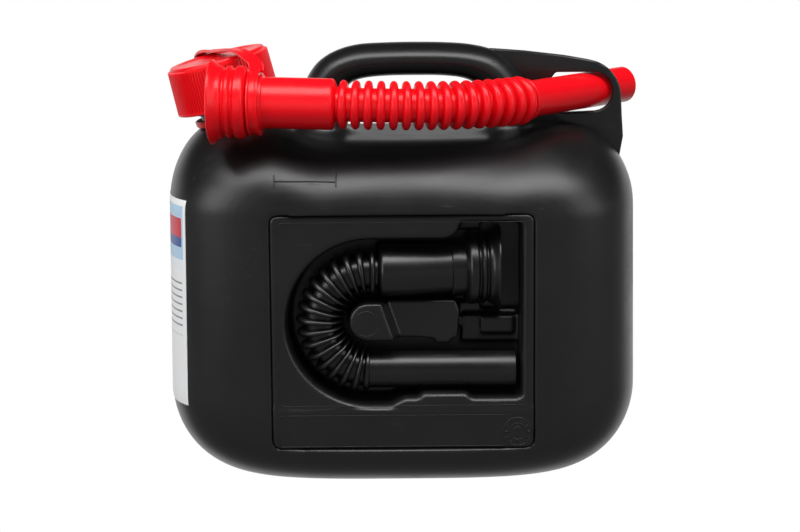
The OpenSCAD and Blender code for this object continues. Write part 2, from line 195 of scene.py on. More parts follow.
class FinishSettings(bpy.types.PropertyGroup):
    black: FloatVectorProperty(name="Black shell", description="Colour of the blow-moulded shell", size=3,
        subtype="COLOR", default=(0.0032, 0.0032, 0.0036), min=0, max=1)
    red: FloatVectorProperty(name="Red plastic", size=3, subtype="COLOR", default=(0.76, 0.0028, 0.0085),
        min=0, max=1, description="Colour of the cap, strap and clipped spout")
    label: FloatVectorProperty(name="Label white", description="Colour of the bare label film", size=3,
        subtype="COLOR", default=(0.93, 0.935, 0.945), min=0, max=1)
    shell_gloss: FloatProperty(name="Shell roughness", description="Roughness of the shell", default=0.36,
        min=0, max=1, subtype="FACTOR")
    red_gloss: FloatProperty(name="Red roughness", description="Roughness of the red parts", default=0.3,
        min=0, max=1, subtype="FACTOR")


# Working with Blender's own tools

def settings(name):
    return getattr(bpy.context.scene, "canister_" + name)


def clear_selection():
    """Leaves object mode on, with nothing selected."""
    if bpy.context.mode != "OBJECT":
        bpy.ops.object.mode_set(mode="OBJECT")
    for other in bpy.context.scene.objects:
        other.select_set(False)


def only(piece):
    """Leaves object mode on, with this piece alone selected and active."""
    clear_selection()
    piece.select_set(True)
    bpy.context.view_layer.objects.active = piece


def added(name):
    """Names the primitive that was just added."""
    piece = bpy.context.active_object
    piece.name = piece.data.name = name
    return piece


def linked(name, data):
    """Puts a new object with this data in the scene."""
    piece = bpy.data.objects.new(name, data)
    bpy.context.scene.collection.objects.link(piece)
    return piece


def pick(piece, faces=None, edges=None, verts=None):
    """Enters edit mode on the piece with the chosen faces, edges or vertices selected."""
    only(piece)
    kind = "FACE" if faces else "EDGE" if edges else "VERT"
    bpy.ops.object.mode_set(mode="EDIT")
    bpy.ops.mesh.select_mode(type=kind)
    bpy.ops.mesh.select_all(action="DESELECT")
    mesh = bmesh.from_edit_mesh(piece.data)
    chosen = mesh.faces if faces else mesh.edges if edges else mesh.verts
    test = faces or edges or verts
    for item in chosen:
        if test(item):
            item.select_set(True)
    mesh.select_flush_mode()
    bmesh.update_edit_mesh(piece.data)


def leave():
    bpy.ops.object.mode_set(mode="OBJECT")


def modify(piece, kind, **values):
    """Adds one modifier with these values and applies it."""
    only(piece)
    modifier = piece.modifiers.new(kind.title(), kind)
    for name, value in values.items():
        setattr(modifier, name, value)
    bpy.ops.object.modifier_apply(modifier=modifier.name)


def cut(piece, cutter, operation="DIFFERENCE"):
    modify(piece, "BOOLEAN", object=cutter, operation=operation, solver="EXACT")
    bpy.data.objects.remove(cutter)


def join(first, *others):
    only(first)
    for other in others:
        other.select_set(True)
    bpy.ops.object.join()


def outward(piece):
    """Merges doubles and turns every face outwards."""
    pick(piece, verts=lambda v: True)
    bpy.ops.mesh.remove_doubles(threshold=MERGE)
    bpy.ops.mesh.normals_make_consistent(inside=False)
    leave()
    return piece


def bake_place(piece):
    """Puts the piece's place, turn and size into its mesh."""
    only(piece)
    bpy.ops.object.transform_apply(location=True, rotation=True, scale=True)
    return piece


def from_rings(name, rings, ends=True, loop=False):
    """Skin through rings of points in millimetres, each turning by the right hand about the way they run."""
    count = len(rings[0])
    verts = [Vector(p) * MM for ring in rings for p in ring]
    faces = []
    last = len(rings) if loop else len(rings) - 1
    for i in range(last):
        a, b = i * count, (i + 1) % len(rings) * count
        for k in range(count):
            m = (k + 1) % count
            faces.append((a + k, a + m, b + m, b + k))
    if ends and not loop:
        faces.append(tuple(reversed(range(count))))
        faces.append(tuple(range(len(verts) - count, len(verts))))
    mesh = bpy.data.meshes.new(name)
    mesh.from_pydata(verts, [], faces)
    return linked(name, mesh)


def outline_of(name, profile):
    """Closed outline through (distance along X, distance from X) in millimetres, in the plane of X and Z."""
    mesh = bpy.data.meshes.new(name)
    edges = [(i, (i + 1) % len(profile)) for i in range(len(profile))]
    mesh.from_pydata([(s * MM, 0, r * MM) for s, r in profile], edges, [])
    return linked(name, mesh)


def spun(name, profile, sides):
    """Turns a closed profile of (distance along the axis, radius) in millimetres round the X axis."""
    piece = outline_of(name, profile)
    pick(piece, verts=lambda v: True)
    bpy.ops.mesh.spin(steps=sides, angle=2 * math.pi, center=(0, 0, 0), axis=(1, 0, 0))
    leave()
    return outward(piece)


def paint(piece, material):
    piece.data.materials.clear()
    piece.data.materials.append(material)


def smooth(piece, angle):
    only(piece)
    bpy.ops.object.shade_smooth_by_angle(angle=math.radians(angle))


def dress(piece, body, material, node, angle=35):
    """Smooths, paints and hangs a finished piece on its body, in place of its CAD node."""
    smooth(piece, angle)
    paint(piece, material)
    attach(piece, body)
    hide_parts(node)


def dress_black(piece, angle):
    """Dresses a piece of the moulded can."""
    dress(piece, "canister", black_shell(), "canister_body", angle)


def leaning():
    """From upright on the origin to the neck's foot and lean, in metres."""
    return Matrix.Translation(NECK_FOOT * MM) @ Matrix.Rotation(math.radians(-NECK_LEAN), 4, "Y")


def neck_matrix():
    """From a part turned round X, with X along the neck, to its place on the shoulder, in metres."""
    return leaning() @ Matrix.Rotation(math.radians(-90), 4, "Y")


# Form of the shell

def clamp(t):
    return min(1.0, max(0.0, t))


def ease(t):
    t = clamp(t)
    return t * t * (3 - 2 * t)


def half_length(z):
    a = HALF_LENGTH - 1.1 * clamp((z - 45) / 110)
    top = SHOULDER - TOP_RADIUS_X
    if z < CORNER_RADIUS:
        return a - CORNER_RADIUS + math.sqrt(max(0, CORNER_RADIUS**2 - (CORNER_RADIUS - z) ** 2))
    if z > top:
        return a - TOP_RADIUS_X + math.sqrt(max(0, TOP_RADIUS_X**2 - (z - top) ** 2))
    return a


def half_depth(z):
    b = HALF_DEPTH
    top = SHOULDER - TOP_RADIUS_Y
    if z < BASE_RADIUS:
        return b - BASE_RADIUS + math.sqrt(max(0, BASE_RADIUS**2 - (BASE_RADIUS - z) ** 2))
    if z > top:
        return b - TOP_RADIUS_Y + math.sqrt(max(0, TOP_RADIUS_Y**2 - (z - top) ** 2))
    return b


def plan_power(z):
    return PLAN_POWER - (PLAN_POWER - 2.3) * ease((z - 150) / 45)


def top_rise(x):
    return -5.5 + 11.5 * ease((-x - 40) / 44) if x < -40 else -5.5 + 5.5 * ease((x - 52) / 40)


def lifted(x, z):
    return z + top_rise(x) * ease((z - 105) / 90)


def level_of(x, z):
    """The level of the unlifted shell that lies at height z."""
    low, high = z - 8, z + 8
    for _ in range(30):
        middle = (low + high) / 2
        low, high = (middle, high) if lifted(x, middle) < z else (low, middle)
    return low


def front_y(x, z):
    """Y of the shell's front skin at x and z."""
    level = level_of(x, z)
    a, b, p = half_length(level), half_depth(level), plan_power(level)
    return -b * max(0.0, 1 - abs(x / a) ** p) ** (1 / p)


def side_x(y, z):
    """X of the shell's side skin on the label's side at y and z."""
    level = level_of(-HALF_LENGTH, z)
    a, b, p = half_length(level), half_depth(level), plan_power(level)
    return -a * max(0.0, 1 - abs(y / b) ** p) ** (1 / p)


def shell_ring(z, sides=240):
    a, b, p = half_length(z), half_depth(z), plan_power(z)
    ring = []
    for i in range(sides):
        angle = (i + 0.5) * 2 * math.pi / sides
        c, s = math.cos(angle), math.sin(angle)
        r = ((abs(c) / a) ** p + (abs(s) / b) ** p) ** (-1 / p)
        ring.append((r * c, r * s, lifted(r * c, z)))
    return ring


def shell_skin():
    """Closed outer form of the shell; both ends are strips along Y, so the top can follow its rise."""
    levels = 110
    rings = [shell_ring(SHOULDER / 2 * (1 - math.cos(math.pi * i / levels))) for i in range(levels + 1)]
    piece = from_rings("shell", rings, ends=False)
    count = len(rings[0])
    mesh = bmesh.new()
    mesh.from_mesh(piece.data)
    mesh.verts.ensure_lookup_table()
    for start, turn in ((0, 1), (levels * count, -1)):
        ring = mesh.verts[start:start + count]
        for i in range(count // 2 - 1):
            strip = (ring[i], ring[count - 1 - i], ring[count - 2 - i], ring[i + 1])
            mesh.faces.new(strip[::turn])
    mesh.to_mesh(piece.data)
    mesh.free()
    return outward(piece)


def spline(points, steps):
    """Catmull-Rom points through a list of tuples, with this many steps a span."""
    line = [Vector(p) for p in points]
    line = [2 * line[0] - line[1]] + line + [2 * line[-1] - line[-2]]
    out = []
    for i in range(1, len(line) - 2):
        a, b, c, d = line[i - 1:i + 3]
        for k in range(steps):
            t = k / steps
            out.append(0.5 * (2 * b + (c - a) * t + (2 * a - 5 * b + 4 * c - d) * t * t
                + (3 * b - a - 3 * c + d) * t**3))
    return out + [line[-2]]


def handle_tube(sides=48):
    line = spline(HANDLE_LINE, 6)
    rings = []
    for i, (x, z, half) in enumerate(line):
        a, b = line[max(0, i - 1)], line[min(len(line) - 1, i + 1)]
        along = Vector((b[0] - a[0], 0, b[1] - a[1])).normalized()
        across = along.cross(Vector((0, 1, 0)))
        ring = []
        for k in range(sides):
            angle = 2 * math.pi * k / sides
            ring.append(Vector((x, 0, z)) + Vector((0, 1, 0)) * (HANDLE_DEPTH / 2) * math.cos(angle)
                + across * half * math.sin(angle))
        rings.append(ring)
    return outward(from_rings("handle_tube", rings))


def box_cutter(name, low, high, corner=0.0):
    """Box between two corners in millimetres, its edges along Y rounded."""
    low, high = Vector(low) * MM, Vector(high) * MM
    clear_selection()
    bpy.ops.mesh.primitive_cube_add(size=1, location=(low + high) / 2, scale=high - low)
    piece = bake_place(added(name))
    if corner:
        pick(piece, edges=lambda e: abs((e.verts[0].co - e.verts[1].co).normalized().y) > 0.99)
        bpy.ops.mesh.bevel(offset=corner * MM, segments=6)
        leave()
    return piece


def cylinder_on_neck(name, start, end, radius):
    """Solid cylinder along the neck, between two heights."""
    clear_selection()
    bpy.ops.mesh.primitive_cylinder_add(vertices=96, radius=radius * MM, depth=(end - start) * MM,
        location=(0, 0, (start + end) / 2 * MM))
    piece = bake_place(added(name))
    piece.data.transform(leaning())
    return piece


def weigh(piece, name, weight):
    """Vertex group with weight(point in millimetres) at each vertex."""
    group = piece.vertex_groups.new(name=name)
    for vertex in piece.data.vertices:
        value = clamp(weight(vertex.co / MM))
        if value > 0:
            group.add([vertex.index], value, "REPLACE")
    return name


def near_handle_root(p):
    """One close to where a leg of the handle enters the shell, fading out round it."""
    top = SHOULDER + top_rise(p.x) - 0.5
    drop = abs(p.z - top) / 13
    reach = min(abs(math.hypot(p.x - x, p.y * 0.9) - 14) for x in HANDLE_ROOTS) / 12
    return 1.6 - max(drop, reach) * 1.6


# Shader groups

def node_group(name, inputs, outputs):
    group = bpy.data.node_groups.new(name, "ShaderNodeTree")
    for label, kind, value in inputs:
        socket = group.interface.new_socket(label, in_out="INPUT", socket_type=kind)
        if value is not None:
            socket.default_value = value
    for label, kind in outputs:
        group.interface.new_socket(label, in_out="OUTPUT", socket_type=kind)
    return group, group.nodes.new("NodeGroupInput"), group.nodes.new("NodeGroupOutput")


def feed(tree, socket, value):
    """Links the value if it is another socket, or else sets it."""
    if isinstance(value, bpy.types.NodeSocket):
        tree.links.new(value, socket)
    else:
        socket.default_value = value


def math_node(tree, operation, *values):
    node = tree.nodes.new("ShaderNodeMath")
    node.operation = operation
    for socket, value in zip(node.inputs, values):
        feed(tree, socket, value)
    return node.outputs[0]


def mixed(tree, factor, first, second):
    """Mixes two colours with alpha."""
    node = tree.nodes.new("ShaderNodeMix")
    node.data_type = "RGBA"
    feed(tree, node.inputs["A"], first)
    feed(tree, node.inputs["B"], second)
    feed(tree, node.inputs["Factor"], factor)
    return node.outputs["Result"]


def map_range(tree, value, from_min, from_max, to_min=0.0, to_max=1.0, kind="SMOOTHSTEP"):
    node = tree.nodes.new("ShaderNodeMapRange")
    node.interpolation_type = kind
    limits = {"From Min": from_min, "From Max": from_max, "To Min": to_min, "To Max": to_max}
    for name, number in limits.items():
        node.inputs[name].default_value = number
    tree.links.new(value, node.inputs["Value"])
    return node.outputs["Result"]


def bump(tree, height, distance):
    node = tree.nodes.new("ShaderNodeBump")
    node.inputs["Distance"].default_value = distance
    tree.links.new(height, node.inputs["Height"])
    return node.outputs["Normal"]


def noise(tree, vector, scale, detail, rough):
    node = tree.nodes.new("ShaderNodeTexNoise")
    node.inputs["Detail"].default_value = detail
    node.inputs["Roughness"].default_value = rough
    tree.links.new(vector, node.inputs["Vector"])
    feed(tree, node.inputs["Scale"], scale)
    return node.outputs["Fac"]


def moulded_grain():
    """Height of a moulded surface: a fine grain over the slow waves of a cooled wall."""
    if "moulded_grain" in bpy.data.node_groups:
        return bpy.data.node_groups["moulded_grain"]
    group, inside, outside = node_group("moulded_grain",
        [("Place", "NodeSocketVector", None), ("Grain per metre", "NodeSocketFloat", 1600.0),
            ("Waves per metre", "NodeSocketFloat", 45.0), ("Waves", "NodeSocketFloat", 2.0)],
        [("Height", "NodeSocketFloat")])
    fine = noise(group, inside.outputs["Place"], inside.outputs["Grain per metre"], 2.0, 0.6)
    slow = noise(group, inside.outputs["Place"], inside.outputs["Waves per metre"], 1.0, 0.4)
    tall = math_node(group, "MULTIPLY", slow, inside.outputs["Waves"])
    group.links.new(math_node(group, "ADD", fine, tall), outside.inputs["Height"])
    return group


def handling_marks():
    """Mask of faint rubs and short scratches, from 0 to 1."""
    if "handling_marks" in bpy.data.node_groups:
        return bpy.data.node_groups["handling_marks"]
    group, inside, outside = node_group("handling_marks",
        [("Place", "NodeSocketVector", None), ("Amount", "NodeSocketFloat", 0.5)],
        [("Marks", "NodeSocketFloat"), ("Cloud", "NodeSocketFloat")])
    cloud = noise(group, inside.outputs["Place"], 28.0, 4.0, 0.6)
    stretch = group.nodes.new("ShaderNodeMapping")
    stretch.inputs["Rotation"].default_value = (0.3, 0.7, 0.4)
    stretch.inputs["Scale"].default_value = (60, 900, 500)
    group.links.new(inside.outputs["Place"], stretch.inputs["Vector"])
    streak = noise(group, stretch.outputs["Vector"], 1.0, 2.0, 0.5)
    thin = math_node(group, "GREATER_THAN", streak, 0.66)
    patch = math_node(group, "GREATER_THAN", cloud, 0.52)
    both = math_node(group, "MULTIPLY", thin, patch)
    group.links.new(math_node(group, "MULTIPLY", both, inside.outputs["Amount"]), outside.inputs["Marks"])
    group.links.new(cloud, outside.inputs["Cloud"])
    return group


def field():
    """Mask of one rectangle on the label, by Y and Z."""
    if "label_field" in bpy.data.node_groups:
        return bpy.data.node_groups["label_field"]
    group, inside, outside = node_group("label_field",
        [("Place", "NodeSocketVector", None)]
            + [(edge, "NodeSocketFloat", 0.0) for edge in ("Y from", "Y to", "Z from", "Z to")],
        [("Mask", "NodeSocketFloat")])
    parts = group.nodes.new("ShaderNodeSeparateXYZ")
    group.links.new(inside.outputs["Place"], parts.inputs[0])
    y, z = parts.outputs["Y"], parts.outputs["Z"]
    tests = [math_node(group, "GREATER_THAN", y, inside.outputs["Y from"]),
        math_node(group, "LESS_THAN", y, inside.outputs["Y to"]),
        math_node(group, "GREATER_THAN", z, inside.outputs["Z from"]),
        math_node(group, "LESS_THAN", z, inside.outputs["Z to"])]
    mask = tests[0]
    for test in tests[1:]:
        mask = math_node(group, "MULTIPLY", mask, test)
    group.links.new(mask, outside.inputs["Mask"])
    return group


def place(tree, group, point, **values):
    """Puts a shader group in a material and sets its inputs."""
    node = tree.nodes.new("ShaderNodeGroup")
    node.node_tree = group
    tree.links.new(point, node.inputs["Place"])
    for name, value in values.items():
        node.inputs[name.replace("_", " ")].default_value = value
    return node


# Materials

def new_material(name):
    """New material, with its tree, its surface shader and its Object coordinates."""
    material = bpy.data.materials.new(name)
    material.use_nodes = True
    tree = material.node_tree
    point = tree.nodes.new("ShaderNodeTexCoord").outputs["Object"]
    return material, tree, tree.nodes["Principled BSDF"], point


def plastic(name, colour, rough, grain, waves, relief, marks, mottle, specular=0.5):
    """Moulded plastic: colour with a faint drift, roughness that drifts and marks, and a fine grain."""
    if name in bpy.data.materials:
        return bpy.data.materials[name]
    material, tree, shader, point = new_material(name)
    shader.inputs["Specular IOR Level"].default_value = specular
    wear = place(tree, handling_marks(), point, Amount=marks)
    skin = place(tree, moulded_grain(), point, Grain_per_metre=grain, Waves_per_metre=40.0, Waves=waves)
    lighter = [min(1.0, c * 1.5 + 0.012) for c in colour]
    drift = math_node(tree, "MULTIPLY", wear.outputs["Cloud"], mottle)
    amount = math_node(tree, "ADD", drift, wear.outputs["Marks"])
    tree.links.new(mixed(tree, amount, (*colour, 1), (*lighter, 1)), shader.inputs["Base Color"])
    spread = map_range(tree, wear.outputs["Cloud"], 0.3, 0.7, rough - 0.035, rough + 0.035, "LINEAR")
    tree.links.new(math_node(tree, "ADD", spread, wear.outputs["Marks"]), shader.inputs["Roughness"])
    tree.links.new(bump(tree, skin.outputs["Height"], relief), shader.inputs["Normal"])
    return material


def black_shell():
    finish = settings("finish")
    return plastic("black_shell_plastic", finish.black, finish.shell_gloss, 1500.0, 3.0, 0.00003, 0.12, 0.2)


def black_spout_plastic():
    finish = settings("finish")
    return plastic("black_spout_plastic", finish.black, 0.33, 1200.0, 1.0, 0.00001, 0.04, 0.1)


def red_plastic():
    finish = settings("finish")
    return plastic("red_plastic", finish.red, finish.red_gloss, 1200.0, 1.2, 0.000012, 0.02, 0.04, 0.3)


def foam():
    return plastic("seal_foam_disc", (0.8, 0.8, 0.77), 0.7, 2500.0, 0.5, 0.00008, 0.02, 0.1)


# Fields on the label in metres, before they are widened to the sheet: colour, Y from and to, Z from and to.
# The grey bars stand for lines of print: Y from and to, and the foot of each, all 1 mm high.
BARS = [(-0.0385, 0.030, 0.113), (-0.0385, 0.034, 0.109), (-0.0385, 0.026, 0.105), (-0.0385, 0.032, 0.101),
    (-0.0385, 0.029, 0.097), (-0.0385, 0.034, 0.093), (-0.0385, 0.012, 0.089), (0, 0.034, 0.077),
    (0, 0.028, 0.073), (0, 0.031, 0.069)]
LABEL_FIELDS = [
    ((0.47, 0.68, 0.86), -0.0395, 0.0395, 0.127, 0.1575),
    ((0.86, 0.92, 0.96), -0.0395, 0.0395, 0.121, 0.127),
    ((0.04, 0.09, 0.30), -0.0385, 0.020, 0.134, 0.1395),
    ((0.62, 0.03, 0.05), -0.0385, 0.020, 0.1395, 0.1505),
    ((0.62, 0.65, 0.69), -0.0385, 0.036, 0.0835, 0.0840),
] + [((0.25, 0.27, 0.30), y0, y1, z, z + 0.001) for y0, y1, z in BARS]


def label_film():
    """White film with plain fields of colour and grey lines where print would be."""
    if "printed_label" in bpy.data.materials:
        return bpy.data.materials["printed_label"]
    material, tree, shader, point = new_material("printed_label")
    colour = (*settings("finish").label, 1)
    wide = LABEL_HALF / LABEL_SOLID_HALF
    for ink, y0, y1, z0, z1 in LABEL_FIELDS:
        mask = place(tree, field(), point, Y_from=y0 * wide, Y_to=y1 * wide, Z_from=z0, Z_to=z1)
        colour = mixed(tree, mask.outputs["Mask"], colour, (*ink, 1))
    tree.links.new(colour, shader.inputs["Base Color"])
    wear = place(tree, handling_marks(), point, Amount=0.05)
    tree.links.new(map_range(tree, wear.outputs["Cloud"], 0.0, 1.0, 0.32, 0.45, "LINEAR"),
        shader.inputs["Roughness"])
    skin = place(tree, moulded_grain(), point, Grain_per_metre=700.0, Waves_per_metre=60.0, Waves=2.0)
    tree.links.new(bump(tree, skin.outputs["Height"], 0.00001), shader.inputs["Normal"])
    return material


# Spouts

def spout_profile(pitch, rings, share):
    """Closed profile of a spout: outside from flange to tail, then the bore back."""
    c = COLLAR_RADIUS
    end = BELLOWS_START + rings * pitch
    outside = [(0, FLANGE_RADIUS - 0.5), (0.25, FLANGE_RADIUS), (1.0, FLANGE_RADIUS),
        (1.5, FLANGE_RADIUS - 0.3), (3.4, 21.5), (5.0, 20.2), (5.6, c), (6.4, c - 0.1), (7.1, 19.3),
        (7.8, 18.3), (8.4, 18.2), (9.0, 19.3), (9.8, c), (11, c), (11.8, 19.4), (12.6, 18.3), (13.2, 18.2),
        (13.9, 19.2), (14.7, c), (17.9, c), (18.8, 19.7), (19.9, 18.6), (20.7, 16.4), (21.2, WAIST_RADIUS),
        (28.4, WAIST_RADIUS), (28.9, 15.1), (29.3, TUBE_RADIUS), (40, TUBE_RADIUS), (50, TUBE_RADIUS),
        (60, TUBE_RADIUS), (66.4, TUBE_RADIUS), (67.3, TUBE_RADIUS - 0.3), (68.2, 12.6), (68.9, 10.4)]
    rise = (0, 0.03, 0.1, 0.2, 0.34, 0.5, 0.66, 0.8, 0.9, 0.97, 1)
    for i in range(rings):
        outside.append((BELLOWS_START + i * pitch, VALLEY_RADIUS))
        for t in rise:
            bulge = (1 - abs(2 * t - 1) ** 2.3) ** (1 / 2.3)
            outside.append((BELLOWS_START + (i + 0.5 + (t - 0.5) * share) * pitch,
                VALLEY_RADIUS + (RING_RADIUS - VALLEY_RADIUS) * bulge))
    outside += [(end, VALLEY_RADIUS), (end + 0.5, 9.6), (end + 0.8, 11.2), (end + 1.3, 11.7),
        (end + 2.9, 11.7), (end + 3.3, 11.3), (end + 3.6, TAIL_RADIUS + 0.1), (end + 4, TAIL_RADIUS)]
    outside += [(end + TAIL_LENGTH * t / 6, TAIL_RADIUS) for t in range(1, 6)]
    outside += [(end + TAIL_LENGTH - 0.4, TAIL_RADIUS), (end + TAIL_LENGTH, TAIL_RADIUS - 0.4)]
    inside = [(end + TAIL_LENGTH, TAIL_RADIUS - 1.0), (end + TAIL_LENGTH - 0.3, TAIL_RADIUS - 1.2)]
    inside += [(end + TAIL_LENGTH * t / 6, TAIL_RADIUS - 1.2) for t in range(5, 0, -1)]
    inside += [(end + 2, TAIL_RADIUS - 1.2), (end, SPOUT_BORE)]
    inside += [(end - i * pitch / 2, SPOUT_BORE) for i in range(1, rings * 2 - 1)]
    inside += [(BELLOWS_START - 1, SPOUT_BORE), (67, 12.8), (50, 12.8), (30, 12.8), (20, 14.1), (13, 17),
        (4.6, 17.2), (0.6, 22.2), (0, 22.6)]
    return outside + inside


def red_heading(s):
    return -5.5 + 50 * clamp((s - BELLOWS_START) / (settings("spout").rings * RED_PITCH)) ** 1.5


def red_path():
    """Points of the clipped spout's middle line, one a step: it sinks by 3 mm and turns behind the handle."""
    x, y, z = RED_START
    points = []
    for i in range(560):
        s = i * PATH_STEP
        points.append(Vector((x, y, z - 3 * ease(s / 185) + 0.008 * max(0, s - 185))))
        angle = math.radians(red_heading(s + PATH_STEP / 2))
        x, y = x + math.cos(angle) * PATH_STEP, y + math.sin(angle) * PATH_STEP
    return points


def black_path():
    """Points of the stored spout's middle line: along the top, round the bend and back."""
    lead = BELLOWS_START + 3.2
    turn = math.pi * BEND_RADIUS
    x, y, z = BEND_CENTRE
    points = []
    for i in range(520):
        s = i * PATH_STEP
        if s < lead:
            points.append(Vector((x + lead - s, y + 9.5 * (1 - ease(s / 75)), z + BEND_RADIUS)))
        elif s < lead + turn:
            a = (s - lead) / BEND_RADIUS
            points.append(Vector((x - BEND_RADIUS * math.sin(a), y, z + BEND_RADIUS * math.cos(a))))
        else:
            points.append(Vector((x + s - lead - turn, y, z - BEND_RADIUS)))
    return points


def bend_along(piece, points):
    """Bends a piece that lies along X onto a path of points in millimetres, with a curve modifier."""
    curve = bpy.data.curves.new("bend_path", "CURVE")
    curve.dimensions = "3D"
    curve.twist_mode = "MINIMUM"
    line = curve.splines.new("POLY")
    line.points.add(len(points) - 1)
    for item, point in zip(line.points, points):
        item.co = (*(point * MM), 1)
    path = linked("bend_path", curve)
    bpy.context.view_layer.update()
    modify(piece, "CURVE", object=path, deform_axis="POS_X")
    bpy.data.objects.remove(path)


# Pieces and stage, one operator each

class CANISTER_OT_shell(bpy.types.Operator):
    """Blow-moulded shell with its handle, as one soft skin"""
    bl_idname = "canister.shell"
    bl_label = "Shell"

    def execute(self, context):
        shape = settings("shell")
        shell = shell_skin()
        cut(shell, cylinder_on_neck("seat_cutter", SEAT, 40, 24.5))
        foot, top = PANEL_Z
        cut(shell, box_cutter("front_cutter", (-PANEL_X, -BEYOND, foot), (PANEL_X, PANEL_Y + 5, top),
            PANEL_CORNER))
        cut(shell, box_cutter("back_cutter", (-PANEL_X, BACK_PANEL_Y, foot), (PANEL_X, BEYOND, top),
            PANEL_CORNER))
        cut(shell, box_cutter("recess_cutter", RECESS_LOW, RECESS_HIGH))
        join(shell, handle_tube())
        modify(shell, "REMESH", mode="VOXEL", voxel_size=shape.voxel, use_smooth_shade=True)
        group = weigh(shell, "handle_root", near_handle_root)
        modify(shell, "SMOOTH", factor=0.5, iterations=shape.blend, vertex_group=group)
        modify(shell, "SMOOTH", factor=0.5, iterations=shape.soften)
        shell.vertex_groups.clear()
        dress_black(shell, 60)
        return {"FINISHED"}


class CANISTER_OT_panel(bpy.types.Operator):
    """Front panel with the recess that stores the second spout"""
    bl_idname = "canister.panel"
    bl_label = "Front panel and recess"

    def execute(self, context):
        panel = linked("front_panel", frame["nodes"]["canister_body"].data.copy())
        pick(panel, verts=lambda v: True)
        bpy.ops.mesh.remove_doubles(threshold=MERGE)
        leave()
        drop_hollow(panel)
        cut(panel, box_cutter("panel_keeper", (-PANEL_X + 0.1, -BEYOND, PANEL_Z[0] + 0.1),
            (PANEL_X - 0.1, -40, PANEL_Z[1] - 0.1), PANEL_CORNER), "INTERSECT")
        modify(panel, "REMESH", mode="VOXEL", voxel_size=settings("shell").panel_voxel, use_smooth_shade=True)
        modify(panel, "SMOOTH", factor=0.5, iterations=settings("shell").panel_soften)
        pick(panel, faces=lambda f: f.calc_center_median().y > PANEL_OPEN_Y * MM)
        bpy.ops.mesh.delete(type="FACE")
        leave()
        dress_black(panel, 60)
        return {"FINISHED"}


def drop_hollow(piece):
    """Takes the hollow inside the shell away: cuts the bore, keeps the outside and closes it."""
    axis = neck_matrix().inverted()
    pick(piece, faces=lambda f: all(
        abs(math.hypot(*(axis @ v.co).yz) - NECK_BORE * MM) < 0.1 * MM for v in f.verts))
    bpy.ops.mesh.delete(type="FACE")
    leave()
    pick(piece, verts=lambda v: False)
    mesh = bmesh.from_edit_mesh(piece.data)
    outer = min(mesh.verts, key=lambda v: v.co.y)
    outer.select_set(True)
    bpy.ops.mesh.select_linked()
    bpy.ops.mesh.select_all(action="INVERT")
    bpy.ops.mesh.delete(type="VERT")
    bpy.ops.mesh.select_mode(type="EDGE")
    bpy.ops.mesh.select_all(action="DESELECT")
    bpy.ops.mesh.select_non_manifold(extend=False)
    bpy.ops.mesh.edge_face_add()
    leave()


class CANISTER_OT_spouts(bpy.types.Operator):
    """Both bellows spouts, from one mould: the red one clipped on top and the black one stored"""
    bl_idname = "canister.spouts"
    bl_label = "Spouts"

    def execute(self, context):
        form = settings("spout")
        red = spun("red_spout_tube", spout_profile(RED_PITCH, form.rings, form.red_share), form.sides)
        bend_along(red, red_path())
        dress(outward(red), "canister", red_plastic(), "red_spout")
        black = spun("black_spout_tube", spout_profile(BLACK_PITCH, form.rings, form.black_share), form.sides)
        bend_along(black, black_path())
        dress(outward(black), "canister", black_spout_plastic(), "black_spout")
        return {"FINISHED"}


class CANISTER_OT_neck(bpy.types.Operator):
    """Neck with its rim and thread"""
    bl_idname = "canister.neck"
    bl_label = "Neck and thread"

    def execute(self, context):
        rim = NECK_TOP
        profile = [(SEAT - 3, NECK_RADIUS), (SEAT - 0.2, NECK_RADIUS + 1.6), (SEAT + 0.4, NECK_RADIUS + 0.3),
            (SEAT + 1.2, NECK_RADIUS), (8, NECK_RADIUS), (16, NECK_RADIUS), (rim - 0.8, NECK_RADIUS),
            (rim - 0.2, NECK_RADIUS - 0.3), (rim, NECK_RADIUS - 0.9), (rim, NECK_BORE + 0.5),
            (rim - 0.6, NECK_BORE), (10, NECK_BORE), (SEAT - 3, NECK_BORE)]
        neck = spun("neck_tube", profile, 72)
        join(neck, spun_thread())
        neck.name = "threaded_neck"
        neck.data.transform(neck_matrix())
        dress_black(neck, 40)
        return {"FINISHED"}


def spun_thread(turns=3.4):
    """Helical ridge round X, from a wedge profile and a screw modifier."""
    start, high = 5.2, 1.7
    wedge = [(-1.25, -0.2), (-0.55, high), (0.55, high), (1.25, -0.2)]
    thread = outline_of("thread", [(start + s, NECK_RADIUS + r) for s, r in wedge])
    modify(thread, "SCREW", axis="X", angle=2 * math.pi * turns, screw_offset=THREAD_PITCH * turns * MM,
        steps=int(56 * turns), render_steps=int(56 * turns), use_normal_calculate=True)
    pick(thread, edges=lambda e: e.is_boundary)
    bpy.ops.mesh.edge_face_add()
    leave()
    return outward(thread)


